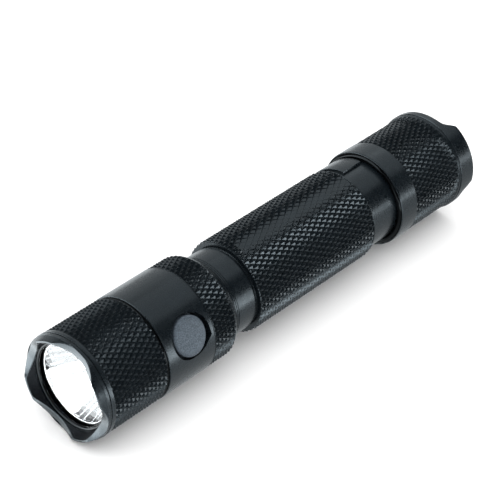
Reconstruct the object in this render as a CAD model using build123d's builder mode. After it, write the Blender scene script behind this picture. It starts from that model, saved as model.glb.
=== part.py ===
"""Tactical flashlight: a turned aluminium light with a side switch and a tail switch.

The light lies along X with the beam leaving towards +X. The origin is at the middle of its
length, straight below the axis, at the height of the surface that it lies on.
Setbacks are distances along the axis, measured from the joint between bezel and head shell
towards the tail, so the bezel's front has a negative setback. Angles about the axis start at
+Y and grow towards +Z.
"""
from build123d import *
from math import cos, radians, sin
import os

# ---- Driving dimensions, millimetres and degrees ---------------------------------------
bezel_length = 3.7
tail_setback = 122.6            # rear end of the crown
head_radius = 12.7              # bezel joint, head shell, switch section and collar
bezel_rim_radius = 12.05
neck_radius = 10.2
grip_radius = 11.52             # knurled battery tube
clip_seat_radius = 10.5
cap_radius = 12.2
crown_radius = 12.6

shell_end = 15.6                # head shell's rear face
seam = 0.55                     # gap that the seam O-ring fills
switch_end = 30.3               # smooth switch section
collar_end = 37.0               # knurled collar
neck_start = 39.3
neck_end = 45.7
tube_front = 46.5
grip_end = 86.3
tube_rear = 105.0
cap_front = 95.25
cap_flare_start = 114.5         # the cap widens from here to the crown
cap_knurl_end = 117.6
crown_start = 117.8

button_angle = 24
button_setback = 23.75
button_radius = 4.55
button_top = 12.7               # distance of the button's face from the axis
button_rounding = 0.5
flange_radius = 5.45            # foot that keeps the button in its hole
well_radius = 5.05              # ends of the oval hole that the button stands in
well_stretch = 0.35             # how far the two ends are from the hole's middle
well_tip = (-5.45, 2.2)         # pointed corner at the hole's rear
lug_count = 4
scallop_depth = 1.9
scallop_width = 12.6
crown_cut_floor = 8.9           # half of the width of the cut across the crown, at its floor
crown_cut_mouth = 10.35         # the same, at the rear end
crown_cut_depth = 3.0
crown_cut_corner = 2.9          # radius at the sides of the cut's floor
flat_angle = 77
flat_distance = 11.05           # distance of the milled flat from the axis
flat_front = 48.6

cell_bore = 8.75
cell_radius = 8.4
cell_length = 34.4
cells_front = 38.0
chamber_radius = 10.6           # inside the switch section
thread_clearance = 0.05
wire_radius = 0.45
wire_circle = 8.7               # radius at which the LED wires run past the side switch
wire_bend = 1.5

lens_front = -0.35
lens_thickness = 1.3
lens_radius = 10.85
mouth_radius = 9.43             # reflector opening
led_hole_radius = 3.2
reflector_base = 12.45
parabola = 6.84                 # four times the focal length
board_front = 13.25             # front face of the LED board
pill_front = 14.85
pill_rear = 17.6
driver_front = 33.9
driver_rear = 35.3

switch_board_front = 110.2      # tail switch board, nearest the cells
switch_board_rear = 111.4
switch_body_rear = 115.2
washer_front = 115.4
boot_front = 115.9
end_wall_front = 117.2
end_wall_rear = 118.6
boot_top = 121.9
plunger_top = 119.9

axis_height = head_radius
joint_x = (tail_setback - bezel_length) / 2
beam = Axis((0, 0, axis_height), (1, 0, 0))


def outward(angle):
    """The direction away from the axis at an angle."""
    return Vector(0, cos(radians(angle)), sin(radians(angle)))


def across(setback, angle=0):
    """A plane square to the axis that faces the front; local x points along the angle."""
    return Plane(origin=(joint_x - setback, 0, axis_height), x_dir=outward(angle), z_dir=(1, 0, 0))


def facing(setback, angle):
    """A plane through the axis that faces outwards at an angle; local x points to the front."""
    return Plane(origin=(joint_x - setback, 0, axis_height), x_dir=(1, 0, 0), z_dir=outward(angle))


def lengthwise(angle):
    """A plane that holds the axis: local x is the setback, local y the radius at an angle."""
    return Plane(origin=(joint_x, 0, axis_height), x_dir=(-1, 0, 0), z_dir=outward(angle - 90))


section = lengthwise(90)


def turn(*points, mode=Mode.ADD, arc=360):
    """Revolve a closed outline of (setback, radius) points about the light's axis."""
    with BuildSketch(section) as outline:
        with BuildLine():
            Polyline(*points, close=True)
        make_face()
    revolve(outline.sketch, axis=beam, revolution_arc=arc, mode=mode)


def ring(front, rear, outer, inner, mode=Mode.ADD):
    """A plain turned ring between two setbacks."""
    turn((front, inner), (front, outer), (rear, outer), (rear, inner), mode=mode)


def disc(front, rear, radius, mode=Mode.ADD):
    """A plain turned disc between two setbacks."""
    ring(front, rear, radius, 0, mode=mode)


def o_ring(setback, middle_radius, thickness_radius, mode=Mode.ADD):
    """A round-section ring centred on the axis."""
    with BuildSketch(section) as outline:
        with Locations((setback, middle_radius)):
            Circle(thickness_radius)
    revolve(outline.sketch, axis=beam, mode=mode)


def post(plane, radius, low, high, mode=Mode.ADD):
    """A round post on a plane, between two heights above it."""
    with BuildSketch(plane.offset(low)) as outline:
        Circle(radius)
    extrude(outline.sketch, amount=high - low, mode=mode)


def block(plane, length, width, low, high, mode=Mode.ADD, place=(0, 0)):
    """A square-edged block on a plane, between two heights above it."""
    with BuildSketch(plane.offset(low)) as outline:
        with Locations(place):
            Rectangle(length, width)
    extrude(outline.sketch, amount=high - low, mode=mode)


button_plane = facing(button_setback, button_angle)
wire_angles = (button_angle + 140, button_angle + 220)
screw_angles = (button_angle - 90, button_angle + 90)

# ---- Bezel and optics -------------------------------------------------------------------
bezel_bore = lens_radius + 0.1
bezel_thread = 11.6
bezel_mouth_radius = 11.6
band_front = -1.95              # narrow turned band behind the lugs
band_rear = -1.1
band_radius = 12.58
groove_radius = 12.3            # narrow groove between the band and the bezel's last step
groove_rear = -0.92
lens_stop = -1.35               # face that the lens O-ring bears on
lens_lip_radius = 10.4
spigot_end = 4.2
with BuildPart() as bezel_ring:
    turn(
        (-bezel_length, bezel_mouth_radius),
        (-bezel_length, bezel_rim_radius),
        (band_front, band_radius - 0.08),
        (band_front, band_radius),
        (band_rear, band_radius),
        (band_rear, groove_radius),
        (groove_rear, groove_radius),
        (groove_rear, head_radius),
        (0, head_radius),
        (0, bezel_thread),
        (spigot_end, bezel_thread),
        (spigot_end, bezel_bore),
        (lens_stop, bezel_bore),
        (lens_stop, lens_lip_radius),
        (lens_stop - 0.35, lens_lip_radius),
    )
    scallop_radius = (scallop_width**2 / 4 + scallop_depth**2) / (2 * scallop_depth)
    scallop_centre = scallop_depth - bezel_length - scallop_radius
    for corner in range(lug_count):
        angle = button_angle + (corner + 0.5) * 360 / lug_count
        post(facing(scallop_centre, angle), scallop_radius, 0, head_radius + 1, mode=Mode.SUBTRACT)

with BuildPart() as lens_o_ring:
    o_ring((lens_stop + lens_front) / 2, 10.35, (lens_front - lens_stop) / 2)

with BuildPart() as front_lens:
    disc(lens_front, lens_front + lens_thickness, lens_radius)

reflector_front = lens_front + lens_thickness
flange_rear = 2.2
reflector_foot = 4.6
vertex = reflector_base + led_hole_radius**2 / parabola
mouth_setback = vertex - mouth_radius**2 / parabola
with BuildPart() as reflector:
    turn(
        (reflector_front, 0),
        (reflector_front, lens_radius),
        (flange_rear, lens_radius),
        (flange_rear, lens_radius - 0.65),
        (9.5, 7.2),
        (reflector_base, reflector_foot),
        (reflector_base, 0),
    )
    with BuildSketch(section) as hollow:
        with BuildLine():
            middle = (mouth_radius + led_hole_radius) / 2
            bend = vertex - mouth_radius * led_hole_radius / parabola
            Bezier((mouth_setback, mouth_radius), (bend, middle), (reflector_base, led_hole_radius))
            Polyline(
                (reflector_base, led_hole_radius),
                (reflector_base, 0),
                (mouth_setback, 0),
                (mouth_setback, mouth_radius),
            )
        make_face()
    revolve(hollow.sketch, axis=beam, mode=Mode.SUBTRACT)

with BuildPart() as led_centring_ring:
    ring(reflector_base, board_front, reflector_foot - 0.2, 2.6)

emitter_side = 3.45
emitter_top = board_front - 0.7
led_dome = 1.45
with BuildPart() as led_emitter:
    block(across(board_front), emitter_side, emitter_side, 0, board_front - emitter_top)
    with BuildSketch(section) as dome:
        with BuildLine():
            RadiusArc((emitter_top, led_dome), (emitter_top - led_dome, 0), -led_dome)
            Polyline((emitter_top - led_dome, 0), (emitter_top, 0), (emitter_top, led_dome))
        make_face()
    revolve(dome.sketch, axis=beam)

screw_circle = 5.6
screw_end = 17.2
screw_head = 1.85
screw_sink = 0.85
screw_shank = 1.0
with BuildPart() as led_board:
    disc(board_front, pill_front, 7.2)
    for angle in screw_angles:
        screw_plane = across(board_front, angle)
        with BuildSketch(screw_plane) as seat:
            with Locations((screw_circle, 0)):
                Circle(screw_head + 0.05)
        extrude(seat.sketch, amount=-screw_sink - 0.05, taper=45, mode=Mode.SUBTRACT)
        with BuildSketch(screw_plane) as clear_hole:
            with Locations((screw_circle, 0)):
                Circle(screw_shank + 0.05)
        extrude(clear_hole.sketch, amount=board_front - pill_front, mode=Mode.SUBTRACT)

with BuildPart() as led_board_screws:
    for angle in screw_angles:
        screw_plane = across(board_front, angle)
        with BuildSketch(screw_plane) as head:
            with Locations((screw_circle, 0)):
                Circle(screw_head)
        extrude(head.sketch, amount=-screw_sink, taper=45)
        with BuildSketch(screw_plane) as shank:
            with Locations((screw_circle, 0)):
                Circle(screw_shank)
        extrude(shank.sketch, amount=board_front - screw_end)
        block(screw_plane, 0.4, 2.2, -0.4, 0, mode=Mode.SUBTRACT, place=(screw_circle, 0))


def led_wire(angle):
    """An insulated wire from the driver board, past the side switch, to the LED board."""
    end = board_front - wire_radius
    with BuildPart() as wire:
        with BuildLine(lengthwise(angle)) as route:
            Line((driver_front, wire_circle), (end + wire_bend, wire_circle))
            RadiusArc(
                (end + wire_bend, wire_circle),
                (end, wire_circle - wire_bend),
                -wire_bend,
            )
            Line((end, wire_circle - wire_bend), (end, 6.1))
        with BuildSketch(Plane(origin=route.wires()[0] @ 0, z_dir=route.wires()[0] % 0)) as core:
            Circle(wire_radius)
        sweep(core.sketch, path=route.wires()[0])
    return wire


led_wire_positive = led_wire(wire_angles[0])
led_wire_negative = led_wire(wire_angles[1])

# ---- Head -------------------------------------------------------------------------------
shell_front_bore = bezel_thread + thread_clearance
shell_rear_bore = 11.55
shell_waist = 10.9
shell_step = 10.6
with BuildPart() as head_shell:
    turn(
        (0, shell_front_bore),
        (0, head_radius),
        (shell_end - 0.2, head_radius),
        (shell_end, head_radius - 0.2),
        (shell_end, shell_rear_bore),
        (shell_step, shell_rear_bore),
        (shell_step, shell_waist),
        (spigot_end + 0.4, shell_waist),
        (spigot_end + 0.4, shell_front_bore),
    )

with BuildPart() as head_seam_o_ring:
    o_ring(shell_end + seam / 2, head_radius - seam, seam / 2)

with BuildPart() as heat_sink_pill:
    disc(pill_front, pill_rear, chamber_radius - thread_clearance)
    for angle in wire_angles:
        with BuildSketch(across(pill_rear, angle)) as wire_hole:
            with Locations((wire_circle, 0)):
                Circle(0.75)
        extrude(wire_hole.sketch, amount=pill_rear - pill_front, mode=Mode.SUBTRACT)
    for angle in screw_angles:
        with BuildSketch(across(screw_end, angle)) as tapped:
            with Locations((screw_circle, 0)):
                Circle(screw_shank)
        extrude(tapped.sketch, amount=screw_end - pill_front, mode=Mode.SUBTRACT)

neck_thread = 9.95
spigot_rear = 54.6
neck_groove = 52.4
neck_groove_radius = 9.24
with BuildPart() as switch_housing:
    turn(
        (shell_step + 0.4, chamber_radius),
        (shell_step + 0.4, shell_rear_bore - 0.1),
        (shell_end + seam, shell_rear_bore - 0.1),
        (shell_end + seam, head_radius - 0.2),
        (shell_end + seam + 0.2, head_radius),
        (switch_end - 0.15, head_radius),
        (switch_end, head_radius - 0.25),
        (switch_end + 0.15, head_radius),
        (collar_end, head_radius),
        (collar_end + 1.3, 11.3),
        (collar_end + 1.3, 11.0),
        (collar_end + 1.7, 11.0),
        (neck_start, neck_radius),
        (neck_end, neck_radius),
        (neck_end, 9.7),
        (tube_front, 9.7),
        (tube_front, neck_thread),
        (spigot_rear, neck_thread),
        (spigot_rear, cell_bore),
        (driver_rear, cell_bore),
        (driver_rear, chamber_radius),
    )
    ring(neck_groove - 0.45, neck_groove + 0.45, neck_thread + 1, neck_groove_radius, mode=Mode.SUBTRACT)
    with BuildSketch(button_plane) as well:
        with Locations((-well_stretch, 0), (well_stretch, 0)):
            Circle(well_radius)
        with Locations(well_tip):
            Circle(0.1)
        make_hull()
    extrude(well.sketch, amount=head_radius + 1, mode=Mode.SUBTRACT)

# ---- Side switch, stacked inwards from the button -----------------------------------------
flange_top = 9.0
flange_low = 8.45
puck_low = 7.85
tact_top = 7.2
tact_low = 3.6
side_board_low = 2.4
with BuildPart() as side_button_cap:
    post(button_plane, flange_radius, flange_low, flange_top)
    post(button_plane, button_radius, flange_low, button_top)
    face = side_button_cap.faces().sort_by(Axis(button_plane.origin, button_plane.z_dir))[-1]
    fillet(face.edges(), button_rounding)

with BuildPart() as side_button_puck:
    post(button_plane, 3.5, puck_low, flange_low)

with BuildPart() as side_tact_plunger:
    post(button_plane, 1.6, 6.6, puck_low)

with BuildPart() as side_tact_switch:
    block(button_plane, 6, 6, tact_low, tact_top)
    post(button_plane, 1.75, 5.9, tact_top, mode=Mode.SUBTRACT)

with BuildPart() as side_switch_board:
    block(button_plane, 9, 12, side_board_low, tact_low)

with BuildPart() as side_switch_holder:
    disc(18.2, 29.0, chamber_radius - 0.15)
    block(button_plane, 30, 30, side_board_low, 12, mode=Mode.SUBTRACT)
    for angle in wire_angles:
        with BuildSketch(across(30, angle)) as groove:
            with Locations((wire_circle + 1, 0)):
                Rectangle(3.4, 1.8)
        extrude(groove.sketch, amount=15, mode=Mode.SUBTRACT)

# ---- Driver -------------------------------------------------------------------------------
with BuildPart() as driver_retaining_ring:
    ring(31.8, driver_front, chamber_radius - thread_clearance, 9.3)
    for angle in (0, 90):
        block(across(31.8, angle), 30, 2, -0.8, 0.5, mode=Mode.SUBTRACT)

with BuildPart() as driver_board:
    disc(driver_front, driver_rear, 10.4)

driver_face = across(driver_front, button_angle)
with BuildPart() as driver_parts:
    block(driver_face, 5.2, 5.2, 0, 2.8, place=(0.5, 0))
    block(driver_face, 3.0, 4.2, 0, 1.1, place=(5.6, 0))
    block(driver_face, 1.6, 3.2, 0, 1.2, place=(-3.4, 0))
    for side in (-1, 1):
        block(driver_face, 2.0, 1.3, 0, 1.0, place=(1.2, side * 5.0))
        block(driver_face, 1.3, 0.8, 0, 0.7, place=(4.6, side * 4.6))

with BuildPart() as front_contact_spring:
    turn((driver_rear, 3.0), (driver_rear, 3.5), (cells_front, 2.4), (cells_front, 1.9))

# ---- Battery tube and cells -----------------------------------------------------------------
with BuildPart() as neck_o_ring:
    o_ring(neck_groove, neck_groove_radius + 0.37, 0.37)

cap_bore = 10.4
spigot_radius = cap_bore - 0.1
seat_end = 96.3
tail_groove = 98.6
tail_groove_radius = 9.55
key_front = 87.6
key_rear = 94.0
key_radius = 11.25
with BuildPart() as battery_tube:
    turn(
        (tube_front, neck_thread + thread_clearance),
        (tube_front, grip_radius - 0.4),
        (tube_front + 0.4, grip_radius),
        (grip_end - 0.3, grip_radius),
        (grip_end, grip_radius - 0.3),
        (grip_end, clip_seat_radius),
        (seat_end, clip_seat_radius - 0.05),
        (seat_end, spigot_radius),
        (tube_rear, spigot_radius),
        (tube_rear, cell_bore),
        (55.0, cell_bore),
        (55.0, neck_thread + thread_clearance),
    )
    ring(tail_groove - 0.5, tail_groove + 0.5, cap_bore + 1, tail_groove_radius, mode=Mode.SUBTRACT)
    # The clip's key, a raised pad that starts at the top of the seat.
    turn((key_front, 9.5), (key_front, key_radius), (key_rear, key_radius), (key_rear, 9.5), arc=50)
    flat_middle = (flat_front + grip_end + 0.3) / 2
    flat_length = grip_end + 0.3 - flat_front
    block(facing(flat_middle, flat_angle), flat_length, 9, flat_distance, 13, mode=Mode.SUBTRACT)


def cell(front):
    """A round lithium cell with its raised positive end towards the front."""
    rear = front + cell_length
    with BuildPart() as body:
        turn(
            (front, 0),
            (front, 3.1),
            (front + 0.9, 3.2),
            (front + 0.9, 7.6),
            (front + 1.3, cell_radius),
            (rear - 0.4, cell_radius),
            (rear, cell_radius - 0.4),
            (rear, 0),
        )
    return body


front_cell = cell(cells_front)
rear_cell = cell(cells_front + cell_length)
cells_rear = cells_front + 2 * cell_length

with BuildPart() as tail_o_ring:
    o_ring(tail_groove, tail_groove_radius + 0.4, 0.4)

with BuildPart() as cap_seat_ring:
    o_ring(cap_front + 0.3, 11.18, 0.66)

# ---- Tail cap and tail switch -----------------------------------------------------------------
chamber_bore = 9.7
boot_hole = 6.2
bowl_radius = 10.9
cap_step = 106.0
with BuildPart() as tail_cap:
    turn(
        (cap_front, 11.9),
        (cap_front + 0.3, cap_radius),
        (cap_flare_start, cap_radius),
        (cap_knurl_end, crown_radius - 0.1),
        (cap_knurl_end, crown_radius - 0.4),
        (crown_start, crown_radius - 0.4),
        (crown_start, crown_radius),
        (tail_setback - 0.25, crown_radius),
        (tail_setback, crown_radius - 0.25),
        (tail_setback, bowl_radius),
        (end_wall_rear, bowl_radius),
        (end_wall_rear, boot_hole),
        (end_wall_front, boot_hole),
        (end_wall_front, chamber_bore),
        (cap_step, chamber_bore),
        (cap_step, cap_bore),
        (cap_front + 1.1, cap_bore),
        (cap_front + 1.1, 11.9),
    )
    # One cut right across leaves two lugs, one of them in line with the side button.
    with BuildSketch(facing(tail_setback, button_angle + 90)) as scallop:
        with BuildLine():
            Polyline(
                (0, -crown_cut_mouth),
                (crown_cut_depth, -crown_cut_floor),
                (crown_cut_depth, crown_cut_floor),
                (0, crown_cut_mouth),
                (-1, crown_cut_mouth),
                (-1, -crown_cut_mouth),
                close=True,
            )
        make_face()
        fillet(scallop.vertices().group_by(Axis.X)[-1], crown_cut_corner)
    extrude(scallop.sketch, amount=crown_radius + 1, both=True, mode=Mode.SUBTRACT)

with BuildPart() as tail_contact_spring:
    turn((cells_rear, 2.3), (cells_rear, 2.8), (switch_board_front, 3.8), (switch_board_front, 3.3))

with BuildPart() as tail_retaining_ring:
    ring(108.4, switch_board_front, chamber_bore - thread_clearance, 7.0)
    block(across(108.4, 0), 30, 2, -0.8, 0.5, mode=Mode.SUBTRACT)

with BuildPart() as tail_switch_board:
    disc(switch_board_front, switch_board_rear, 9.5)

with BuildPart() as tail_switch_spacer:
    ring(switch_board_rear, washer_front, 9.5, 8.0)

plunger_radius = 2.3
button_travel = 1.8
with BuildPart() as tail_switch_body:
    block(across(switch_body_rear), 10, 10, 0, switch_body_rear - switch_board_rear)
    disc(switch_board_rear + 0.2, switch_body_rear, plunger_radius + 0.1, mode=Mode.SUBTRACT)

with BuildPart() as tail_switch_plunger:
    disc(switch_board_rear + button_travel + 0.3, plunger_top, plunger_radius)
    disc(plunger_top - 0.9, plunger_top, 3.8)

with BuildPart() as tail_switch_spring:
    ring(switch_body_rear, plunger_top - 0.9, 3.3, 2.8)

with BuildPart() as boot_washer:
    ring(washer_front, boot_front, 9.5, 6.4)

dome_radius = boot_hole - 0.1
dome_height = boot_top - end_wall_rear
dome_sphere = (dome_radius**2 + dome_height**2) / (2 * dome_height)
with BuildPart() as tail_boot:
    with BuildSketch(section) as skin:
        with BuildLine():
            Polyline(
                (plunger_top, 0),
                (plunger_top, 4.9),
                (boot_front, 4.9),
                (boot_front, 9.5),
                (end_wall_front, 9.5),
                (end_wall_front, dome_radius),
                (end_wall_rear, dome_radius),
            )
            RadiusArc((end_wall_rear, dome_radius), (boot_top, 0), dome_sphere)
            Line((boot_top, 0), (plunger_top, 0))
        make_face()
    revolve(skin.sketch, axis=beam)

# ---- Write every piece ------------------------------------------------------------------------
pieces = {
    "bezel_ring": bezel_ring,
    "lens_o_ring": lens_o_ring,
    "front_lens": front_lens,
    "reflector": reflector,
    "led_centring_ring": led_centring_ring,
    "led_emitter": led_emitter,
    "led_board": led_board,
    "led_board_screws": led_board_screws,
    "led_wire_positive": led_wire_positive,
    "led_wire_negative": led_wire_negative,
    "head_shell": head_shell,
    "head_seam_o_ring": head_seam_o_ring,
    "heat_sink_pill": heat_sink_pill,
    "switch_housing": switch_housing,
    "side_button_cap": side_button_cap,
    "side_button_puck": side_button_puck,
    "side_tact_plunger": side_tact_plunger,
    "side_tact_switch": side_tact_switch,
    "side_switch_board": side_switch_board,
    "side_switch_holder": side_switch_holder,
    "driver_retaining_ring": driver_retaining_ring,
    "driver_board": driver_board,
    "driver_parts": driver_parts,
    "front_contact_spring": front_contact_spring,
    "neck_o_ring": neck_o_ring,
    "battery_tube": battery_tube,
    "front_cell": front_cell,
    "rear_cell": rear_cell,
    "tail_o_ring": tail_o_ring,
    "cap_seat_ring": cap_seat_ring,
    "tail_cap": tail_cap,
    "tail_contact_spring": tail_contact_spring,
    "tail_retaining_ring": tail_retaining_ring,
    "tail_switch_board": tail_switch_board,
    "tail_switch_spacer": tail_switch_spacer,
    "tail_switch_body": tail_switch_body,
    "tail_switch_plunger": tail_switch_plunger,
    "tail_switch_spring": tail_switch_spring,
    "boot_washer": boot_washer,
    "tail_boot": tail_boot,
}
os.makedirs("parts", exist_ok=True)
for name, piece in pieces.items():
    piece.part.label = name
    export_step(piece.part, f"parts/{name}.step")
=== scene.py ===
"""Looks for the tactical flashlight: knurling, edges, threads, coils, materials, light and camera."""
import math

import bmesh
import bpy
import numpy as np
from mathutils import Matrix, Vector
from mathutils.geometry import convex_hull_2d


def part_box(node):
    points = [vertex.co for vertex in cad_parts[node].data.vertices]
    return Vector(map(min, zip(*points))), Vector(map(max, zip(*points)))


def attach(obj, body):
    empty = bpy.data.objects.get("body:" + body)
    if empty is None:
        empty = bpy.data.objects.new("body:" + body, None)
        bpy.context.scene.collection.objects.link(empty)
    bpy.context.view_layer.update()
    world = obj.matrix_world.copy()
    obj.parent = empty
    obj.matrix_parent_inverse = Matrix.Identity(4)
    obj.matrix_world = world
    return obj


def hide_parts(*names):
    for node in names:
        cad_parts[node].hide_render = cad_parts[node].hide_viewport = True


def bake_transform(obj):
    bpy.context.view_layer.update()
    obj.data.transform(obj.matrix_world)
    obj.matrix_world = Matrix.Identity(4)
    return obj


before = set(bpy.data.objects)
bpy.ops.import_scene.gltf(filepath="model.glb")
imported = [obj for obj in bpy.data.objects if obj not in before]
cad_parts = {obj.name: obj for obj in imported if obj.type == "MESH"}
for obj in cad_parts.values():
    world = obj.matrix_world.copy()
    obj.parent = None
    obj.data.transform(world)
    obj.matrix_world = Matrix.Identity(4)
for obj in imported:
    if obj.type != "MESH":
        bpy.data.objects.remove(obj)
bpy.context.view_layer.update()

# ---- Frame: setbacks run from the bezel joint to the tail, radii from the axis, in millimetres ----
MM = 0.001
shell_low, shell_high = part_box("head_shell")
JOINT_X = shell_high[0] / MM
AXIS_Z = (shell_low[2] + shell_high[2]) / 2 / MM
HEAD_RADIUS = (shell_high[2] - shell_low[2]) / 2 / MM
BUTTON_ANGLE = 24.0
FLAT_ANGLE = 77.0


def reach(node):
    """Front and rear setback of a CAD node."""
    low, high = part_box(node)
    return JOINT_X - high[0] / MM, JOINT_X - low[0] / MM


def radius_of(node):
    """Largest radius of a CAD node that is turned about the axis."""
    low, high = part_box(node)
    return (high[2] - low[2]) / 2 / MM


BEZEL_FRONT = reach("bezel_ring")[0]
SHELL_END = reach("head_shell")[1]
HOUSING_END = reach("switch_housing")[1]
TUBE_FRONT, TUBE_REAR = reach("battery_tube")
CAP_FRONT, CAP_REAR = reach("tail_cap")
GRIP_RADIUS = radius_of("battery_tube")
CROWN_RADIUS = radius_of("tail_cap")
SWITCH_END = 30.3
COLLAR_END = 37.0
NECK_START = 39.3
NECK_END = 45.7
NECK_RADIUS = 10.2
GRIP_END = 86.3
CAP_RADIUS = 12.2
CAP_BAND_END = 100.9
CAP_FLARE_START = 114.5
CAP_KNURL_END = 117.15
CAP_GROOVE = 117.6
CROWN_START = 117.8
END_WALL = 118.6                # rear of the wall inside the crown
BOOT_FLANGE = 117.2             # rear of the boot's flange, under that wall
CHAMBER_RADIUS = 10.6
CELL_BORE = 8.75
CAP_BORE = 10.4
BUTTON_SETBACK = sum(reach("side_button_cap")) / 2
CROWN_CUT_FLOOR = 8.9
CROWN_CUT_MOUTH = 10.35
CROWN_CUT_DEPTH = 3.0
WELL_RADIUS = 5.05
WELL_STRETCH = 0.35
WELL_TIP = (-5.45, 2.2)         # middle of the well's small corner, forwards and up from the button's
WELL_TIP_RADIUS = 0.1
THREAD_PITCH = 1.25
KNURL_DEPTH = 0.5
KNURL_STEPS = 8     # grid steps over each diagonal of a knurl pyramid
KNURL_SMOOTH = 24   # knurl edges flatter than this are shaded round, in degrees
HEAD_PYRAMIDS = 56
GRIP_PYRAMIDS = 50
CAP_PYRAMIDS = 53


# ---- Mesh tools -------------------------------------------------------------------------------
def place(setback, angle, radius):
    """Positions in metres, in the shared frame, for setbacks, angles in radians and radii."""
    setback, angle, radius = np.broadcast_arrays(setback, angle, radius)
    x = JOINT_X - setback
    y = radius * np.cos(angle)
    z = AXIS_Z + radius * np.sin(angle)
    return np.stack([x, y, z], axis=-1) * MM


def on_axis(setback):
    """The point on the light's axis at a setback, in metres."""
    return (JOINT_X - setback) * MM, 0, AXIS_Z * MM


def rounded(profile, size=0.12, steps=4):
    """Round every corner of a closed outline of (setback, radius[, corner size]) points.

    Returns the points and their outward normals, for an outline that runs with the solid on its left.
    """
    points = [np.array(p[:2], float) for p in profile]
    sizes = [p[2] if len(p) > 2 else size for p in profile]
    out, normals = [], []
    count = len(points)
    for i, corner in enumerate(points):
        before, after = points[i - 1], points[(i + 1) % count]
        into, leave = corner - before, after - corner
        len_in, len_out = np.linalg.norm(into), np.linalg.norm(leave)
        into, leave = into / len_in, leave / len_out
        turn = math.atan2(into[0] * leave[1] - into[1] * leave[0], float(into @ leave))
        cut = min(sizes[i] * abs(math.tan(turn / 2)), 0.45 * len_in, 0.45 * len_out)
        start, end = corner - into * cut, corner + leave * cut
        n_in, n_out = np.array([into[1], -into[0]]), np.array([leave[1], -leave[0]])
        if abs(turn) < 0.03:
            out.append(corner)
            normals.append((n_in + n_out) / np.linalg.norm(n_in + n_out))
            continue
        for k in range(steps + 1):
            t = k / steps
            out.append((1 - t) ** 2 * start + 2 * t * (1 - t) * corner + t**2 * end)
            mixed = (1 - t) * n_in + t * n_out
            normals.append(mixed / np.linalg.norm(mixed))
    return np.array(out), np.array(normals)


def solid_on_left(points, normals):
    """The outline turned round, if need be, so that its solid is on the left and its normals point out."""
    area = np.sum(points[:, 0] * np.roll(points[:, 1], -1) - np.roll(points[:, 0], -1) * points[:, 1])
    return (points, normals) if area > 0 else (points[::-1], -normals[::-1])


def new_piece(name, vertices, faces, material, body, smooth_angle=None, normals=None):
    """Make a mesh object, give it its material and let it ride on a body."""
    mesh = bpy.data.meshes.new(name)
    mesh.from_pydata([tuple(v) for v in vertices], [], [tuple(f) for f in faces])
    solid = bmesh.new()
    solid.from_mesh(mesh)
    if solid.calc_volume(signed=True) < 0:
        bmesh.ops.reverse_faces(solid, faces=solid.faces)
        solid.to_mesh(mesh)
    solid.free()
    mesh.polygons.foreach_set("use_smooth", [True] * len(mesh.polygons))
    if normals is not None:
        mesh.normals_split_custom_set_from_vertices([tuple(n) for n in normals])
    elif smooth_angle is not None:
        mesh.set_sharp_from_angle(angle=math.radians(smooth_angle))
    mesh.update()
    piece = bpy.data.objects.new(name, mesh)
    bpy.context.scene.collection.objects.link(piece)
    mesh.materials.append(material)
    if body is not None:
        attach(piece, body)
    return piece


def lathe(name, profile, material, body, segments=256, size=0.12, steps=4):
    """A closed turned solid from an outline whose corners are rounded."""
    points, flat_normals = solid_on_left(*rounded(profile, size, steps))
    angles = np.arange(segments) * 2 * math.pi / segments
    rows = len(points)
    grid = place(points[:, 0][:, None], angles[None, :], points[:, 1][:, None])
    normal = np.stack(
        [
            np.broadcast_to(-flat_normals[:, 0][:, None], (rows, segments)),
            flat_normals[:, 1][:, None] * np.cos(angles),
            flat_normals[:, 1][:, None] * np.sin(angles),
        ],
        axis=-1,
    )
    faces = wrap_faces(rows, segments, close_rows=True)
    return new_piece(name, grid.reshape(-1, 3), faces, material, body, normals=normal.reshape(-1, 3))


def wrap_faces(rows, columns, close_rows=False):
    """Quads of a grid whose columns close round, as lists of vertex numbers."""
    last = rows if close_rows else rows - 1
    r = np.arange(last)[:, None]
    c = np.arange(columns)[None, :]
    nr, nc = (r + 1) % rows, (c + 1) % columns
    corners = (r * columns + c, nr * columns + c, nr * columns + nc, r * columns + nc)
    return np.stack(np.broadcast_arrays(*corners), -1).reshape(-1, 4)


def turned(name, setbacks, radii, material, body, smooth_angle, columns):
    """A closed ring about the light's axis from rows of setbacks and radii."""
    angles = np.arange(columns) * 2 * math.pi / columns
    vertices = place(setbacks, angles[None, :], radii).reshape(-1, 3)
    faces = wrap_faces(len(setbacks), columns, close_rows=True)
    return new_piece(name, vertices, faces, material, body, smooth_angle=smooth_angle)


def relief_faces(heights):
    """Triangles of a wrapped grid, each quad split along the diagonal that is the flatter crease."""
    rows, columns = heights.shape
    quads = wrap_faces(rows, columns)
    h = heights.reshape(-1)
    a, b, c, d = (h[quads[:, k]] for k in range(4))
    along = np.abs(a - c) <= np.abs(b - d)
    first = np.where(along[:, None], quads[:, [0, 1, 2]], quads[:, [0, 1, 3]])
    second = np.where(along[:, None], quads[:, [0, 2, 3]], quads[:, [1, 2, 3]])
    return np.concatenate([first, second])


def diamond(angle, along, around_count, axial_diagonal, depth, tip=0.94):
    """Height of a diamond knurl of flat-topped pyramids, from 0 in the grooves to depth."""
    u = angle * around_count / (2 * math.pi)
    v = along / axial_diagonal
    one = 1 - np.abs(2 * ((u + v) % 1.0) - 1)
    two = 1 - np.abs(2 * ((u - v) % 1.0) - 1)
    return np.minimum(np.minimum(one, two) / tip, 1.0) * depth


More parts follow.
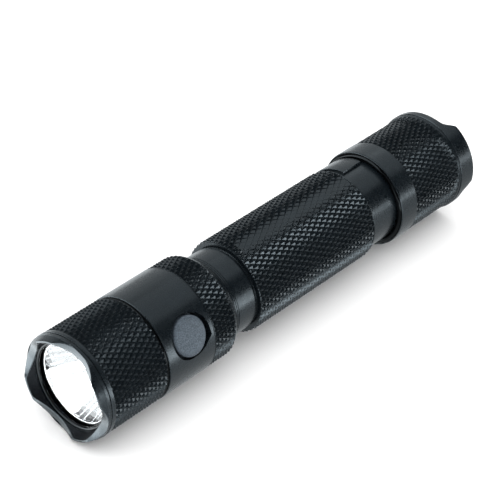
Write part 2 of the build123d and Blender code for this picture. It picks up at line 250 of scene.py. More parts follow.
def knurled_ring(name, front, rear, radius, inner, around, rows_of, material, body, ease, flare=None):
    """A closed ring with a diamond knurl on its outside and short chamfers at its ends.

    A flare (start, rise) widens the ring towards its rear end, where the knurl also gets shallower.
    """
    count = around * KNURL_STEPS
    angles = np.arange(count) * 2 * math.pi / count
    diagonal = (rear - front) / rows_of
    steps = int(rows_of * KNURL_STEPS)
    along = np.linspace(0, rear - front, steps + 1)
    grid_angle, grid_along = np.meshgrid(angles, along)
    height = diamond(grid_angle, grid_along, around, diagonal, KNURL_DEPTH)
    start, rise = flare or (rear, 0)
    widen = np.clip((grid_along + front - start) / max(rear - start, 0.01), 0, 1) ** 2
    outer = radius + rise * widen - (KNURL_DEPTH - height) * (1 - 0.7 * widen)
    edge = np.minimum(grid_along, (rear - front) - grid_along)
    outer = np.minimum(outer, radius + rise * widen - np.clip(ease - edge, 0, None))
    bore = np.full((2, count), inner)
    radii = np.concatenate([bore[:1], outer, bore[:1], bore[:1]])
    setbacks = np.concatenate([[front], along + front, [rear], [front]])
    radii, setbacks = radii[:-1], setbacks[:-1]
    vertices = place(setbacks[:, None], angles[None, :], radii)
    faces = relief_faces(radii)
    rows = len(setbacks)
    close = np.stack(
        [
            (rows - 1) * count + np.arange(count),
            np.arange(count),
            (np.arange(count) + 1) % count,
            (rows - 1) * count + (np.arange(count) + 1) % count,
        ],
        axis=-1,
    )
    faces = [tuple(f) for f in faces] + [tuple(f) for f in close]
    return new_piece(name, vertices.reshape(-1, 3), faces, material, body, smooth_angle=KNURL_SMOOTH)


def point_at(setback, angle, radius):
    """The point at a setback, angle in degrees and radius, and its outward direction."""
    angle = math.radians(angle)
    outward = Vector((0, math.cos(angle), math.sin(angle)))
    centre = Vector(on_axis(setback)) + outward * radius * MM
    return centre, outward


def carve(piece, cutter, sharp_angle):
    """Cut one object out of another, apply the cut and remove the cutter."""
    modifier = piece.modifiers.new("cut", "BOOLEAN")
    modifier.operation = "DIFFERENCE"
    modifier.solver = "EXACT"
    modifier.object = cutter
    graph = bpy.context.evaluated_depsgraph_get()
    mesh = bpy.data.meshes.new_from_object(piece.evaluated_get(graph))
    piece.modifiers.clear()
    old, piece.data = piece.data, mesh
    bpy.data.meshes.remove(old)
    bpy.data.objects.remove(cutter)
    mesh.set_sharp_from_angle(angle=math.radians(sharp_angle))


def button_lathe(name, profile, setback, angle, material, body, segments=128, size=0.12):
    """A closed turned solid about a line square to the light's axis; profile is (height, radius)."""
    points, flat_normals = solid_on_left(*rounded(profile, size, 5))
    centre, outward = point_at(setback, angle, 0)
    side = Vector((1, 0, 0))
    up = outward.cross(side)
    turn = np.arange(segments) * 2 * math.pi / segments
    out_v, side_v, up_v, mid = (np.array(v) for v in (outward, side, up, centre))
    ring = np.cos(turn)[:, None] * side_v + np.sin(turn)[:, None] * up_v
    grid = mid + (points[:, 0][:, None, None] * out_v + points[:, 1][:, None, None] * ring[None]) * MM
    normal = flat_normals[:, 0][:, None, None] * out_v + flat_normals[:, 1][:, None, None] * ring[None]
    faces = wrap_faces(len(points), segments, close_rows=True)
    return new_piece(name, grid.reshape(-1, 3), faces, material, body, normals=normal.reshape(-1, 3))


# ---- Materials ----------------------------------------------------------------------------------
class Paint:
    """A Principled material with small helpers to add procedural detail."""

    FACTOR, COLOUR_A, COLOUR_B, MIXED = 0, 6, 7, 2  # sockets of a Mix node that mixes colours

    def __init__(self, name, colour, roughness, metallic=0.0, **sockets):
        self.material = bpy.data.materials.new(name)
        self.material.use_nodes = True
        self.tree = self.material.node_tree
        self.shader = self.tree.nodes["Principled BSDF"]
        self.colour, self.roughness = colour, roughness
        self.put("Base Color", (*colour, 1))
        self.put("Roughness", roughness)
        self.put("Metallic", metallic)
        for socket, value in sockets.items():
            self.put(socket.replace("_", " "), value)
        self.where = self.node("ShaderNodeTexCoord").outputs["Object"]

    def put(self, socket, value):
        self.shader.inputs[socket].default_value = value

    def node(self, kind, **settings):
        made = self.tree.nodes.new(kind)
        for key, value in settings.items():
            if key in made.inputs:
                made.inputs[key].default_value = value
            else:
                setattr(made, key, value)
        return made

    def link(self, source, target):
        self.tree.links.new(source, target)

    def noise(self, scale, detail=3.0, roughness=0.5, stretch=None):
        made = self.node("ShaderNodeTexNoise", Scale=scale, Detail=detail, Roughness=roughness)
        source = self.where
        if stretch is not None:
            mapping = self.node("ShaderNodeMapping")
            mapping.inputs["Scale"].default_value = stretch
            self.link(source, mapping.inputs["Vector"])
            source = mapping.outputs["Vector"]
        self.link(source, made.inputs["Vector"])
        return made.outputs["Fac"]

    def ramp(self, source, low, high, low_at=0.3, high_at=0.7):
        made = self.node("ShaderNodeMapRange", clamp=True)
        made.inputs["From Min"].default_value = low_at
        made.inputs["From Max"].default_value = high_at
        made.inputs["To Min"].default_value = low
        made.inputs["To Max"].default_value = high
        self.link(source, made.inputs["Value"])
        return made.outputs["Result"]

    def vary_roughness(self, source, spread):
        varied = self.ramp(source, self.roughness - spread, self.roughness + spread)
        self.link(varied, self.shader.inputs["Roughness"])

    def vary_colour(self, source, other, low_at=0.3, high_at=0.7):
        mix = self.node("ShaderNodeMix", data_type="RGBA")
        mix.inputs[self.COLOUR_A].default_value = (*self.colour, 1)
        mix.inputs[self.COLOUR_B].default_value = (*other, 1)
        self.link(self.ramp(source, 0, 1, low_at, high_at), mix.inputs[self.FACTOR])
        self.link(mix.outputs[self.MIXED], self.shader.inputs["Base Color"])

    def bump(self, source, distance, strength=1.0):
        made = self.node("ShaderNodeBump", Strength=strength, Distance=distance)
        self.link(source, made.inputs["Height"])
        previous = self.shader.inputs["Normal"]
        if previous.is_linked:
            self.link(previous.links[0].from_socket, made.inputs["Normal"])
        self.link(made.outputs["Normal"], previous)


def anodised(name, colour, roughness):
    """Hard-anodised aluminium: fine blasted grain and slow tone changes."""
    paint = Paint(name, colour, roughness, Specular_IOR_Level=0.55, Specular_Tint=(0.82, 0.93, 1.0, 1))
    paler = tuple(c * 1.5 for c in colour)
    paint.vary_colour(paint.noise(180, 4, 0.6), paler, 0.35, 0.75)
    paint.vary_roughness(paint.noise(900, 3, 0.6), 0.05)
    paint.bump(paint.noise(9000, 2, 0.6), 0.000006, 0.35)
    return paint.material


def turned_metal(name, colour, roughness, metallic=1.0):
    """Bare turned metal: fine circular tool marks round the light's axis."""
    paint = Paint(name, colour, roughness, metallic=metallic)
    marks = paint.noise(1.0, 2, 0.5, stretch=(9000, 40, 40))
    paint.vary_roughness(marks, 0.06)
    paint.vary_colour(paint.noise(300, 3), tuple(c * 0.85 for c in colour))
    paint.bump(marks, 0.000004, 0.4)
    return paint.material


def rubber(name, colour, roughness, grain=2500, depth=0.00002, speckle=None, shine=0.4):
    """Moulded rubber with a fine matt grain."""
    paint = Paint(name, colour, roughness, Specular_IOR_Level=shine, Specular_Tint=(0.85, 0.94, 1.0, 1))
    grains = paint.noise(grain, 4, 0.65)
    other = speckle if speckle is not None else tuple(c * 1.5 + 0.004 for c in colour)
    paint.vary_colour(grains, other, 0.42, 0.62)
    paint.vary_roughness(paint.noise(600, 3), 0.06)
    paint.bump(grains, depth, 0.6)
    return paint.material


def plastic(name, colour, roughness, fleck=1.15):
    """Moulded plastic: faint texture and slow tone changes."""
    paint = Paint(name, colour, roughness)
    paint.vary_colour(paint.noise(400, 3), tuple(min(1, c * fleck + 0.004) for c in colour))
    paint.vary_roughness(paint.noise(1500, 3), 0.06)
    paint.bump(paint.noise(6000, 2), 0.000006, 0.4)
    return paint.material


def circuit_board():
    """Solder mask with fine tracks and pale pads."""
    paint = Paint("circuit_board", (0.02, 0.14, 0.06), 0.35, Coat_Weight=0.4)
    tracks = paint.node("ShaderNodeTexVoronoi", Scale=900.0)
    tracks.distance = "MANHATTAN"
    paint.link(paint.where, tracks.inputs["Vector"])
    paint.vary_colour(tracks.outputs["Distance"], (0.04, 0.24, 0.1), 0.45, 0.5)
    paint.bump(tracks.outputs["Distance"], 0.00001, 0.4)
    paint.vary_roughness(paint.noise(800), 0.05)
    return paint.material


ALU = (0.0028, 0.0045, 0.006)
smooth_alu = anodised("anodised_smooth", ALU, 0.28)
knurl_alu = anodised("anodised_knurl", ALU, 0.26)
# Near-black matt paint for the sheet over the bezel's bore: painted shade.
painted_shade_matt = rubber("painted_shade_black", (0.0012, 0.0016, 0.0026), 0.4, shine=0.08)
black_rubber = rubber(
    "black_rubber",
    (0.0008, 0.0009, 0.0011),
    0.12,
    grain=800,
    depth=0.000002,
    speckle=(0.0014, 0.0016, 0.002),
    shine=0.14,
)
boot_rubber = rubber("boot_rubber", (0.014, 0.014, 0.015), 0.6)
button_rubber = rubber(
    "button_rubber",
    (0.026, 0.034, 0.044),
    0.5,
    grain=4200,
    depth=0.00004,
    speckle=(0.08, 0.1, 0.122),
    shine=0.3,
)
bare_aluminium = turned_metal("bare_aluminium", (0.7, 0.71, 0.72), 0.25)
brass = turned_metal("brass", (0.75, 0.55, 0.25), 0.25)
steel = turned_metal("steel", (0.5, 0.5, 0.51), 0.25)
gold = turned_metal("gold_plate", (0.85, 0.62, 0.28), 0.18)
copper_board = turned_metal("board_copper", (0.75, 0.45, 0.25), 0.3)
white_plastic = plastic("white_plastic", (0.75, 0.74, 0.7), 0.45)
black_plastic = plastic("black_plastic", (0.02, 0.02, 0.022), 0.45, fleck=1.6)
red_wire = plastic("red_wire", (0.5, 0.03, 0.02), 0.4)
black_wire = plastic("black_wire", (0.015, 0.015, 0.015), 0.4, fleck=1.8)
part_plastic = plastic("driver_parts", (0.04, 0.04, 0.043), 0.5, fleck=1.8)
cell_wrap = plastic("cell_wrap", (0.05, 0.14, 0.32), 0.3)
green_board = circuit_board()


def mirror_metal():
    paint = Paint("reflector_mirror", (0.95, 0.95, 0.955), 0.03, metallic=1.0)
    paint.vary_roughness(paint.noise(120, 2), 0.015)
    return paint.material


def lens_glass():
    return Paint("lens_glass", (1, 1, 1), 0.0, IOR=1.45, Transmission_Weight=1.0).material


def led_dome():
    paint = Paint("led_dome", (0.85, 0.7, 0.15), 0.15, Coat_Weight=1.0)
    paint.vary_colour(paint.noise(3000, 2), (0.9, 0.78, 0.3))
    return paint.material


reflector_mirror = mirror_metal()
clear_glass = lens_glass()
phosphor = led_dome()

NODE_MATERIALS = {
    "lens_o_ring": black_rubber,
    "head_seam_o_ring": black_rubber,
    "neck_o_ring": black_rubber,
    "tail_o_ring": black_rubber,
    "front_lens": clear_glass,
    "led_centring_ring": white_plastic,
    "led_emitter": phosphor,
    "led_board": copper_board,
    "led_board_screws": steel,
    "led_wire_positive": red_wire,
    "led_wire_negative": black_wire,
    "heat_sink_pill": bare_aluminium,
    "side_button_puck": black_plastic,
    "side_tact_plunger": black_plastic,
    "side_tact_switch": black_plastic,
    "side_switch_holder": black_plastic,
    "side_switch_board": green_board,
    "driver_board": green_board,
    "tail_switch_board": green_board,
    "driver_parts": part_plastic,
    "driver_retaining_ring": brass,
    "tail_retaining_ring": brass,
    "front_cell": cell_wrap,
    "rear_cell": cell_wrap,
    "tail_switch_spacer": white_plastic,
    "tail_switch_body": black_plastic,
    "tail_switch_plunger": white_plastic,
    "boot_washer": steel,
}
for node, material in NODE_MATERIALS.items():
    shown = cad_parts[node]
    shown.data.materials.clear()
    shown.data.materials.append(material)


def stands_for(node):
    """The piece replaces a CAD node, which is hidden."""
    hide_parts(node)


# ---- Bezel: a tapered ring with two turned bands, four lugs and four scallops ------------------------
LUGS = 4
SCALLOP_DEPTH = 1.9
SCALLOP_WIDTH = 12.6
BORE_END = -1.72        # rear of the bore in front of the lens O-ring
CONE_END = -1.95        # rear of the tapered outside
LUG_EDGE = 0.13         # rounding of the lugs and scallops
SHADE_SHEET_SKIN = 0.012     # half the thickness of the painted-shade sheet over the bore
BORE_ROWS = 9


def make_bezel():
    segments = 720
    angles = np.arange(segments) * 2 * math.pi / segments
    quarter = 2 * math.pi / LUGS
    offset = (angles - math.radians(BUTTON_ANGLE)) % quarter - quarter / 2
    curve = (SCALLOP_WIDTH**2 / 4 + SCALLOP_DEPTH**2) / (2 * SCALLOP_DEPTH)
    centre = SCALLOP_DEPTH + BEZEL_FRONT - curve

    def front_at(radius):
        across = radius * np.sin(offset)
        cut = centre + np.sqrt(np.clip(curve**2 - across**2, 0, None))
        blend = 0.12
        return 0.5 * (cut + BEZEL_FRONT + np.sqrt((cut - BEZEL_FRONT) ** 2 + blend**2))

    def outer_radius(setback):
        return np.interp(setback, [BEZEL_FRONT, CONE_END], [12.05, 12.5])

    def inner_radius(setback):
        return np.interp(setback, [BEZEL_FRONT, -1.7], [11.6, 10.4])

    rows = []
    front_outer = front_at(12.2)
    front_inner = front_at(11.2)
    for part in np.linspace(0, 1, BORE_ROWS):
        s = BORE_END + (front_inner + LUG_EDGE - BORE_END) * part
        rows.append((s, inner_radius(s)))
    quarter_turn = np.linspace(0, math.pi / 2, 5)
    for t in quarter_turn:
        s = front_inner + LUG_EDGE * (1 - math.sin(t))
        rows.append((s, inner_radius(front_inner) + LUG_EDGE * (1 - math.cos(t)) * 0.9))
    for t in quarter_turn:
        s = front_outer + LUG_EDGE * (1 - math.cos(t))
        rows.append((s, outer_radius(front_outer) - LUG_EDGE * (1 - math.sin(t)) * 0.9))
    for part in np.linspace(0, 1, 9)[1:]:
        s = (front_outer + LUG_EDGE) + (CONE_END - front_outer - LUG_EDGE) * part
        rows.append((s, outer_radius(s)))
    tail, _ = rounded(
        [
            (CONE_END, 12.58),
            (-1.14, 12.58),
            (-1.14, 12.3, 0.03),
            (-0.96, 12.3, 0.03),
            (-0.96, HEAD_RADIUS),
            (-0.02, HEAD_RADIUS),
            (-0.02, 11.6),
            (4.2, 11.6),
            (4.2, 10.95),
            (-1.35, 10.95),
            (-1.35, 10.4, 0.08),
        ],
        0.07,
        4,
    )
    for s, r in tail:
        rows.append((np.full(segments, s), np.full(segments, r)))
    setbacks = np.array([r[0] for r in rows])
    radii = np.array([r[1] for r in rows])
    piece = turned("bezel_body", setbacks, radii, smooth_alu, "light", 32, segments)
    stands_for("bezel_ring")
    # A thin near-black sheet laid over the bezel's bore is painted shade: it makes the bore dark.
    bore = slice(0, BORE_ROWS)
    shade_sheet_setbacks = np.concatenate([setbacks[bore], setbacks[bore][::-1]])
    shade_sheet_radii = np.concatenate([radii[bore] - SHADE_SHEET_SKIN, radii[bore][::-1] + SHADE_SHEET_SKIN])
    shade_sheet = turned("bezel_painted_shade", shade_sheet_setbacks, shade_sheet_radii, painted_shade_matt, "light", 32, segments)


make_bezel()


# ---- Reflector: a smooth parabola with a rounded edge at its mouth ------------------------------------
def make_reflector():
    front, base = reach("reflector")
    mouth, hole, four_focal = 9.43, 3.2, 6.84
    vertex = base + hole**2 / four_focal
    radii = np.linspace(mouth, hole, 48)
    dish = [(vertex - r**2 / four_focal, r) for r in radii]
    edge = 0.14
    back = [(base, 4.6), (9.5, 7.2), (2.2, 10.2), (2.2, 10.85), (front, 10.85)]
    outline = dish[1:] + back
    for a in np.linspace(0, math.pi / 2, 7):
        outline.append((front + edge * (1 - math.cos(a)), mouth + edge * (1 - math.sin(a))))
    outline = np.array(outline)
    piece = turned("reflector_body", outline[:, :1], outline[:, 1:], reflector_mirror, "light", 30, 256)
    stands_for("reflector")


make_reflector()


# ---- Head shell -------------------------------------------------------------------------------------
shell = knurled_ring(
    "head_shell_body",
    front=0.05,
    rear=SHELL_END - 0.05,
    radius=HEAD_RADIUS,
    inner=11.65,
    around=HEAD_PYRAMIDS,
    rows_of=6.375,
    material=knurl_alu,
    body="light",
    ease=0.3,
)
stands_for("head_shell")


# ---- Switch housing: smooth section with the button's well, knurled collar, neck ----------------------
def make_housing():
    front = SHELL_END + 0.55
    body = lathe(
        "switch_housing_body",
        [
            (11.0, CHAMBER_RADIUS),
            (11.0, 11.45),
            (front, 11.45),
            (front, HEAD_RADIUS, 0.2),
            (SWITCH_END - 0.28, HEAD_RADIUS),
            (SWITCH_END - 0.28, HEAD_RADIUS - 0.14, 0.05),
            (SWITCH_END - 0.1, HEAD_RADIUS - 0.14, 0.05),
            (SWITCH_END - 0.1, HEAD_RADIUS, 0.05),
            (SWITCH_END, HEAD_RADIUS, 0.05),
            (SWITCH_END, 12.0),
            (COLLAR_END, 12.0),
            (COLLAR_END, 12.35),
            (COLLAR_END + 1.2, 11.5),
            (COLLAR_END + 1.2, 11.3, 0.05),
            (COLLAR_END + 1.45, 11.2, 0.05),
            *(
                (NECK_START + at, NECK_RADIUS - deep, 0.02)
                for line in (0.0, 0.5, 1.0)
                for at, deep in ((line, 0), (line + 0.02, 0.1), (line + 0.2, 0.1), (line + 0.22, 0))
            ),
            (NECK_END, NECK_RADIUS),
            (NECK_END, 9.7),
            (TUBE_FRONT, 9.7),
            (TUBE_FRONT, 9.95),
            (HOUSING_END, 9.95),
            (HOUSING_END, CELL_BORE),
            (35.3, CELL_BORE),
            (35.3, CHAMBER_RADIUS),
        ],
        smooth_alu,
        "light",
        segments=360,
        size=0.1,
    )
    round_it = [(math.cos(a), math.sin(a)) for a in np.radians(np.arange(0, 360, 3.0))]
    outline = [
        (side * WELL_STRETCH + WELL_RADIUS * c, WELL_RADIUS * s) for side in (-1, 1) for c, s in round_it
    ]
    outline += [(WELL_TIP[0] + WELL_TIP_RADIUS * c, WELL_TIP[1] + WELL_TIP_RADIUS * s) for c, s in round_it]
    outline = np.array([outline[k] for k in convex_hull_2d(outline)])
    centre, outward = point_at(BUTTON_SETBACK, BUTTON_ANGLE, 0)
    front_way = np.array((1.0, 0, 0))
    up_way = np.cross(np.array(outward), front_way)
    ring = outline[:, :1] * front_way + outline[:, 1:] * up_way
    well_floor, above = 5.0, 14.5
    ends = [np.array(centre) + (ring + height * np.array(outward)) * MM for height in (well_floor, above)]
    count = len(outline)
    faces = [(k, (k + 1) % count, count + (k + 1) % count, count + k) for k in range(count)]
    faces += [tuple(range(count))[::-1], tuple(range(count, 2 * count))]
    cutter = new_piece("well_cutter", np.concatenate(ends), faces, smooth_alu, "light")
    carve(body, cutter, sharp_angle=28)
    body.data.polygons.foreach_set("use_smooth", [True] * len(body.data.polygons))
    stands_for("switch_housing")
    collar = knurled_ring(
        "collar_knurl",
        front=SWITCH_END + 0.02,
        rear=COLLAR_END,
        radius=HEAD_RADIUS,
        inner=11.95,
        around=HEAD_PYRAMIDS,
        rows_of=2.75,
        material=knurl_alu,
        body="light",
        ease=0.3,
    )


make_housing()


# ---- Side button --------------------------------------------------------------------------------------
def make_button():
    foot, wall = 5.45, 4.55
    piece = button_lathe(
        "side_button_rubber",
        [
            (8.45, 0.01),
            (8.45, foot),
            (9.0, foot),
            (9.0, wall),
            (12.15, wall, 0.3),
            (12.5, 4.1, 0.6),
            (12.64, 2.9, 1.2),
            (12.7, 1.4, 1.2),
            (12.7, 0.01),
        ],
        BUTTON_SETBACK,
        BUTTON_ANGLE,
        button_rubber,
        "side_button",
        size=0.1,
    )
    stands_for("side_button_cap")


make_button()


# ---- Battery tube: knurled grip with a milled flat, clip seat with its key, rear thread ---------------
FLAT_DISTANCE = 11.05
FLAT_FRONT = 48.6
KEY_FRONT, KEY_REAR = 87.6, 94.0
KEY_START, KEY_END = 90, 140    # degrees
KEY_TOP = 11.25
KEY_CHAMFER = 0.4
SEAT_RADIUS = 10.5


def thread(angle, along, depth, pitch=THREAD_PITCH):
    """Height of a right-hand screw thread with flat crests."""
    turn = (along / pitch + angle / (2 * math.pi)) % 1.0
    wave = 1 - np.abs(2 * turn - 1)
    return np.clip(wave * 1.6 - 0.3, 0, 1) * depth


def make_tube():
    grip = knurled_ring(
        "grip_knurl",
        front=TUBE_FRONT,
        rear=GRIP_END,
        radius=GRIP_RADIUS,
        inner=10.05,
        around=GRIP_PYRAMIDS,
        rows_of=16,
        material=knurl_alu,
        body="light",
        ease=0.4,
    )
    length, width, height = GRIP_END + 1 - FLAT_FRONT, 12, 3
    centre, _ = point_at(FLAT_FRONT + length / 2, FLAT_ANGLE, FLAT_DISTANCE + height / 2)
    bpy.ops.mesh.primitive_cube_add(size=1)
    cutter = bpy.context.object
    cutter.dimensions = (length * MM, width * MM, height * MM)
    cutter.rotation_euler = (math.radians(FLAT_ANGLE - 90), 0, 0)
    cutter.location = centre
    bpy.context.view_layer.update()
    carve(grip, cutter, sharp_angle=KNURL_SMOOTH)
    stands_for("battery_tube")
    seat = lathe(
        "tube_rear",
        [
            (TUBE_FRONT + 8.5, CELL_BORE),
            (TUBE_FRONT + 8.5, 10.04),
            (GRIP_END - 0.2, 10.04),
            (GRIP_END - 0.2, 11.2),
            (GRIP_END, 11.2),
            (GRIP_END + 0.6, SEAT_RADIUS, 0.3),
            (96.3, SEAT_RADIUS),
            (96.3, 10.3),
            (98.05, 10.3, 0.05),
            (98.05, 9.55, 0.05),
            (99.15, 9.55, 0.05),
            (99.15, 9.7),
            (TUBE_REAR, 9.7, 0.3),
            (TUBE_REAR, CELL_BORE),
        ],
        smooth_alu,
        "light",
        size=0.08,
    )
    count, pitch_steps = 128, 8
    angles = np.arange(count) * 2 * math.pi / count
    along = np.arange(99.2, TUBE_REAR - 0.1, THREAD_PITCH / pitch_steps)
    grid_angle, grid_along = np.meshgrid(angles, along)
    fade = np.clip(np.minimum(grid_along - along[0], along[-1] - grid_along) / 0.4, 0, 1)
    radii = 9.72 + thread(grid_angle, grid_along, 0.56) * fade
    radii = np.concatenate([np.full((1, count), 9.6), radii, np.full((1, count), 9.6)])
    setbacks = np.concatenate([[along[0]], along, [along[-1]]])
    screw = turned("tube_thread", setbacks[:, None], radii, bare_aluminium, "light", 35, count)
    # The clip's key: a raised pad that starts at the top of the seat.
    foot = SEAT_RADIUS - 0.2
    corners = [(KEY_FRONT, foot), (KEY_FRONT, KEY_TOP), (KEY_REAR, KEY_TOP), (KEY_REAR, foot)]
    outline, _ = rounded(corners, 0.1)
    lead = np.array([0, 0.165, 0.23]) / KEY_TOP
    key_angles = np.radians(np.linspace(KEY_START, KEY_END, 40))
    key_angles = np.concatenate([key_angles[0] + lead, key_angles[1:-1], key_angles[-1] - lead[::-1]])
    drop = np.zeros(len(key_angles))
    drop[:2] = drop[:-3:-1] = KEY_CHAMFER, 0.02
    tall = outline[:, 1][None, :] - drop[:, None] * (outline[:, 1][None, :] > 10.9)
    vertices = place(outline[:, 0][None, :], key_angles[:, None], tall)
    rows, columns = len(key_angles), len(outline)
    faces = [tuple(f) for f in wrap_faces(rows, columns)]
    faces += [tuple(range(columns)), tuple(range((rows - 1) * columns, rows * columns))[::-1]]
    key = new_piece("clip_key", vertices.reshape(-1, 3), faces, smooth_alu, "light", smooth_angle=30)


make_tube()


# ---- Glossy ring at the cap's mouth -------------------------------------------------------------------
def make_mouth_ring():
    middle, thick, across = 11.18, 0.66, 32
    turn = (np.arange(across) * 2 * math.pi / across)[:, None]
    setbacks = sum(reach("cap_seat_ring")) / 2 + thick * np.cos(turn)
    radii = middle + thick * np.sin(turn)
    ring = turned("mouth_ring", setbacks, radii, black_rubber, "light", 60, 256)
    stands_for("cap_seat_ring")


make_mouth_ring()


# ---- Tail cap: smooth band, knurl, crown with two lugs ------------------------------------------------
def make_cap():
    body = lathe(
        "tail_cap_body",
        [
            (CAP_FRONT, 11.9, 0.1),
            (CAP_FRONT, 12.15, 0.25),
            (CAP_FRONT + 0.4, CAP_RADIUS, 0.3),
            (CAP_BAND_END, CAP_RADIUS),
            (CAP_BAND_END, 11.65),
            (CAP_KNURL_END, 11.65),
            (CAP_KNURL_END, 12.4, 0.05),
            (CAP_GROOVE, 12.47, 0.05),
            (CAP_GROOVE, 12.38, 0.03),
            (CROWN_START, 12.38, 0.03),
            (CROWN_START, 10.95),
            (END_WALL, 10.95),
            (END_WALL, 6.2, 0.2),
            (BOOT_FLANGE, 6.2),
            (BOOT_FLANGE, 9.7),
            (106.0, 9.7),
            (106.0, CAP_BORE),
            (CAP_FRONT + 1.1, CAP_BORE),
            (CAP_FRONT + 1.1, 11.9),
        ],
        smooth_alu,
        "tail_cap",
        segments=256,
        size=0.1,
    )
    stands_for("tail_cap")
    knurl = knurled_ring(
        "tail_cap_knurl",
        front=CAP_BAND_END + 0.02,
        rear=CAP_KNURL_END,
        radius=CAP_RADIUS,
        inner=11.6,
        around=CAP_PYRAMIDS,
        rows_of=6.625,
        material=knurl_alu,
        body="tail_cap",
        ease=0.15,
        flare=(CAP_FLARE_START, 0.25),
    )
    segments = 1080
    angles = np.arange(segments) * 2 * math.pi / segments
    edge = 0.22
    bowl = 10.9

    def rear_at(radius):
        """Rear end of the crown where the cut across it has been milled, with its edges eased."""
        aside = np.abs(radius * np.cos(angles - math.radians(BUTTON_ANGLE)))
        wall = CROWN_CUT_DEPTH * (CROWN_CUT_MOUTH - aside) / (CROWN_CUT_MOUTH - CROWN_CUT_FLOOR)
        cut = 0.5 * (CROWN_CUT_DEPTH + wall - np.sqrt((wall - CROWN_CUT_DEPTH) ** 2 + 1.0))
        return CAP_REAR - 0.5 * (cut + np.sqrt(cut**2 + 0.04))

    outer_rear, inner_rear = rear_at(CROWN_RADIUS), rear_at(bowl)
    rows = []
    for s, r in ((CROWN_START, 11.0), (CROWN_START, CROWN_RADIUS - 0.12), (CROWN_START + 0.12, CROWN_RADIUS)):
        rows.append((np.full(segments, s), np.full(segments, r)))
    start = CROWN_START + 0.12
    for part in np.linspace(0, 1, 6)[1:]:
        rows.append((start + (outer_rear - edge - start) * part, np.full(segments, CROWN_RADIUS)))
    quarter_turn = np.linspace(0, math.pi / 2, 5)
    for t in quarter_turn[1:]:
        radius = CROWN_RADIUS - edge * (1 - math.cos(t))
        rows.append((outer_rear - edge * (1 - math.sin(t)), np.full(segments, radius)))
    for part in np.linspace(0, 1, 8)[1:-1]:
        radius = (CROWN_RADIUS - edge) + (bowl + edge - CROWN_RADIUS + edge) * part
        rows.append((rear_at(radius), np.full(segments, radius)))
    for t in quarter_turn:
        radius = bowl + edge * (1 - math.sin(t))
        rows.append((inner_rear - edge * (1 - math.cos(t)), np.full(segments, radius)))
    for part in np.linspace(0, 1, 6)[1:]:
        rows.append((inner_rear - edge + (END_WALL - inner_rear + edge) * part, np.full(segments, bowl)))
    rows.append((np.full(segments, END_WALL), np.full(segments, bowl - 0.1)))
    setbacks = np.array([r[0] for r in rows])
    radii = np.array([r[1] for r in rows])
    crown = turned("tail_crown", setbacks, radii, smooth_alu, "tail_cap", 32, segments)


make_cap()


# ---- Tail boot: a rubber dome -------------------------------------------------------------------------
def make_boot():
    rise, wide = 3.3, 6.1
    turn = np.linspace(0, math.pi / 2, 14)[:-1]
    outline = [(119.9, 0.01), (119.9, 4.9), (115.9, 4.9), (115.9, 9.5)]
    outline += [(BOOT_FLANGE, 9.5), (BOOT_FLANGE, wide)]
    outline += [(END_WALL + rise * math.sin(a), wide * math.cos(a)) for a in turn]
    outline += [(END_WALL + rise, 0.01)]
    piece = lathe("tail_boot_rubber", outline, boot_rubber, None, segments=128, size=0.1, steps=3)
    stands_for("tail_boot")
    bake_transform(piece)


make_boot()


# ---- Coil springs -------------------------------------------------------------------------------------
def coil(name, front, rear, front_radius, rear_radius, wire, turns, material, body):
    """A coil of round wire between two setbacks, with its end turns closed."""
    steps, across = int(turns * 40), 12
    t = np.linspace(0, 1, steps + 1)
    angle = t * turns * 2 * math.pi
    ends = 1.0 / turns
    lift = np.clip((t - ends) / (1 - 2 * ends), 0, 1)
    low, high = front + wire, rear - wire
    closed = 0.06 * np.clip(t / ends, 0, 1) + 0.06 * np.clip((t - 1 + ends) / ends, 0, 1)
    s = low + (high - low) * (closed + 0.88 * lift)
    r = front_radius + (rear_radius - front_radius) * t
    turn = np.arange(across) * 2 * math.pi / across
    ring_s = s[:, None] + wire * np.cos(turn)[None, :]
    ring_r = r[:, None] + wire * np.sin(turn)[None, :]
    vertices = place(ring_s, angle[:, None], ring_r)
    faces = [tuple(f) for f in wrap_faces(steps + 1, across)]
    faces += [tuple(range(across)), tuple(range(steps * across, (steps + 1) * across))[::-1]]
    return new_piece(name, vertices.reshape(-1, 3), faces, material, body, smooth_angle=50)


front, rear = reach("front_contact_spring")
front_coil = coil("front_coil", front, rear, 3.2, 2.2, 0.28, 4, gold, "light")
stands_for("front_contact_spring")
front, rear = reach("tail_contact_spring")
tail_coil = coil("tail_coil", front, rear, 2.5, 3.5, 0.28, 4.5, gold, "cap_carrier")
stands_for("tail_contact_spring")
front, rear = reach("tail_switch_spring")
switch_coil = coil("switch_coil", front, rear, 3.05, 3.05, 0.2, 5, steel, None)
stands_for("tail_switch_spring")
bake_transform(switch_coil)


# ---- Floor, light and camera --------------------------------------------------------------------------
def make_floor():
    mesh = bpy.data.meshes.new("floor")
    half = 4.0
    corners = [(-half, -half, 0), (half, -half, 0), (half, half, 0), (-half, half, 0)]
    mesh.from_pydata(corners, [], [(0, 1, 2, 3)])
    floor = bpy.data.objects.new("floor", mesh)
    bpy.context.scene.collection.objects.link(floor)
    paint = Paint("floor_paint", (0.9, 0.9, 0.9), 0.9)
    paint.vary_colour(paint.noise(3, 2), (0.88, 0.88, 0.88))
    mesh.materials.append(paint.material)
    floor.location.z = -0.0002
    floor.visible_glossy = False


make_floor()


def softbox(name, centre, aim, size, power, colour=(1, 1, 1)):
    """A rectangular area light that faces a point."""
    lamp = bpy.data.lights.new(name, "AREA")
    lamp.shape = "RECTANGLE"
    lamp.size, lamp.size_y = size
    lamp.energy = power
    lamp.color = colour
    holder = bpy.data.objects.new(name, lamp)
    bpy.context.scene.collection.objects.link(holder)
    holder.location = centre
    direction = Vector(aim) - Vector(centre)
    holder.rotation_euler = direction.to_track_quat("-Z", "Y").to_euler()
    return holder


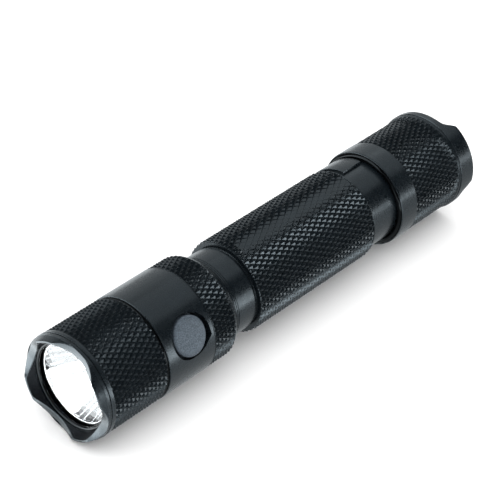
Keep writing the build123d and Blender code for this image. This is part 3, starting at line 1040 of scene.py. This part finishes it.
def card(name, centre, aim, size, radiance):
    """A cool pale light that shows only in glossy surfaces and through glass."""
    power = radiance * math.pi * size[0] * size[1]
    light = softbox(name, centre, aim, size, power, (0.92, 0.975, 1.0))
    light.visible_diffuse = False
    light.visible_camera = False


middle = (0, 0, AXIS_Z * MM)
for lamp in (
    softbox("overhead", (0, 0, 1.3), (0, 0, 0), (3.4, 3.4), 36.0),
    softbox("sweep", (-0.62, 0.82, 0.35), (-0.62, 0.82, 0), (0.9, 0.5), 4.0),
):
    lamp.visible_glossy = False
    lamp.visible_transmission = False

# Cards round the light: direction and distance from its middle, size in metres and radiance.
for name, direction, distance, size, radiance in (
    ("rim_card", (-0.604, 0.79, 0.0), 0.5, (0.9, 0.045), 5.5),
    ("side_card", (-0.05, 1.0, 0.03), 0.25, (0.09, 0.035), 6.0),
    ("top_card", (-0.604, -0.02, 0.8), 1.0, (1.0, 0.6), 0.75),
    ("back_card", (-0.604, -0.7, 0.4), 1.0, (1.6, 0.75), 0.75),
    ("front_card", (0.78, -0.53, 0.34), 0.5, (0.5, 0.9), 4.0),
    ("eye_card", (0.66, 0.5, 0.32), 0.62, (0.66, 0.6), 0.2),
    ("low_strip", (0.69, 0.62, 0.36), 0.6, (0.36, 0.05), 1.4),
    ("high_strip", (0.52, 0.44, 0.72), 0.6, (0.36, 0.06), 1.8),
):
    at = Vector(middle) + Vector(direction).normalized() * distance
    card(name, at, middle, size, radiance)

# Cards on the floor, facing up.
FLOOR_CARD_HEIGHT = 0.0006
for name, (x, y), size, radiance in (
    ("floor_card_near", (0, 0.6), (2.4, 1.2), 0.65),
    ("floor_card_far", (0, -0.6), (2.4, 1.2), 1.4),
    ("floor_card_side", (-0.015, 0.12), (0.085, 0.14), 5.0),
    ("floor_card_front", (0.1925, 0.02), (0.255, 0.54), 4.0),
):
    card(name, (x, y, FLOOR_CARD_HEIGHT), (x, y, 1), size, radiance)

world = bpy.data.worlds.new("studio")
world.use_nodes = True
world.node_tree.nodes["Background"].inputs["Color"].default_value = (1, 1, 1, 1)
world.node_tree.nodes["Background"].inputs["Strength"].default_value = 1.0
bpy.context.scene.world = world
world.cycles_visibility.glossy = False
world.cycles_visibility.transmission = False

VIEW_AZIMUTH = 132.38
VIEW_ELEVATION = 35.20
VIEW_DISTANCE = 0.44875
AIM = Vector((-0.00172, -0.00563, AXIS_Z * MM))
turn_angle, lift_angle = math.radians(VIEW_AZIMUTH), math.radians(VIEW_ELEVATION)
level = math.cos(lift_angle)
towards = Vector((math.sin(turn_angle) * level, -math.cos(turn_angle) * level, math.sin(lift_angle)))
lens = bpy.data.cameras.new("camera")
lens.lens = 139.56
lens.sensor_width = 36
lens.clip_start = 0.01
camera = bpy.data.objects.new("camera", lens)
bpy.context.scene.collection.objects.link(camera)
camera.location = AIM + towards * VIEW_DISTANCE
camera.rotation_euler = towards.to_track_quat("Z", "Y").to_euler()
bpy.context.scene.camera = camera
bpy.context.scene.view_settings.view_transform = "Standard"
